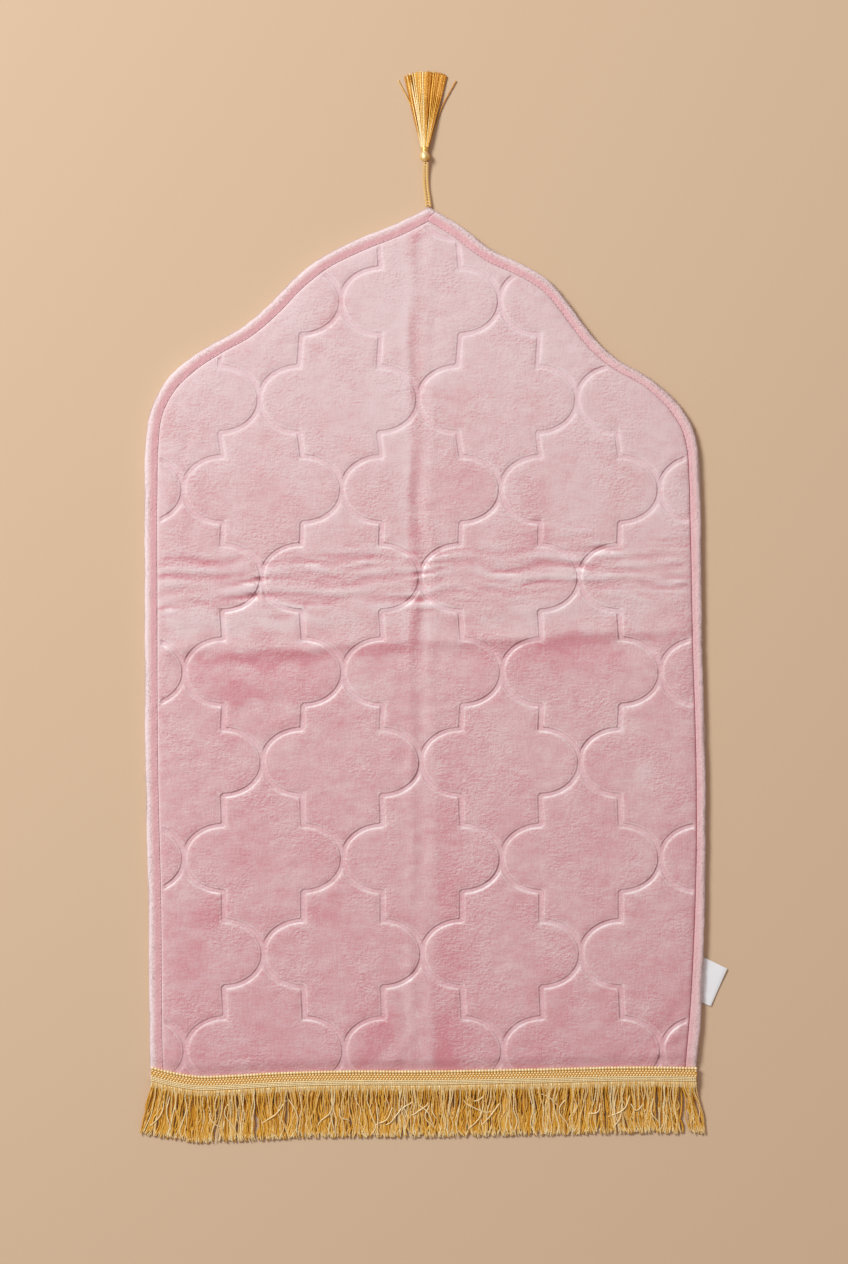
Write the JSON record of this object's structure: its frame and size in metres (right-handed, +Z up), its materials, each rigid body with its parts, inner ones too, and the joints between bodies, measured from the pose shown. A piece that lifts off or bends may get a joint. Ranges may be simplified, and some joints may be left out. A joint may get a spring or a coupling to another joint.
{
  "type": "prayer rug",
  "caption": "Small padded prayer rug with an ogee-arched head, trellis quilting, bound edge, gold braid with fringe at the foot, and a gold tassel on a cord at the tip, lying flat.",
  "frame": {"origin": "middle of the mat's flat underside, on the floor that it lies on", "axes": "+Y along the rug towards the arch's tip and the tassel, +X to the right seen from above, +Z up out of the quilted face"},
  "size_m": [0.4738, 0.8707, 0.0082],
  "materials": {
    "pink_velvet": "matt short-pile velvet",
    "pink_binding": "matt velvet tape",
    "gold_thread": "lustrous twisted thread",
    "white_satin": "smooth satin ribbon"
  },
  "bodies": {
    "root": {"quilted_panel": "pink_velvet", "edge_binding": "pink_binding", "fringe": "gold_thread", "side_label": "white_satin", "tassel": "gold_thread", "tassel_cord_left": "gold_thread", "tassel_cord_right": "gold_thread"}
  },
  "joints": []
}
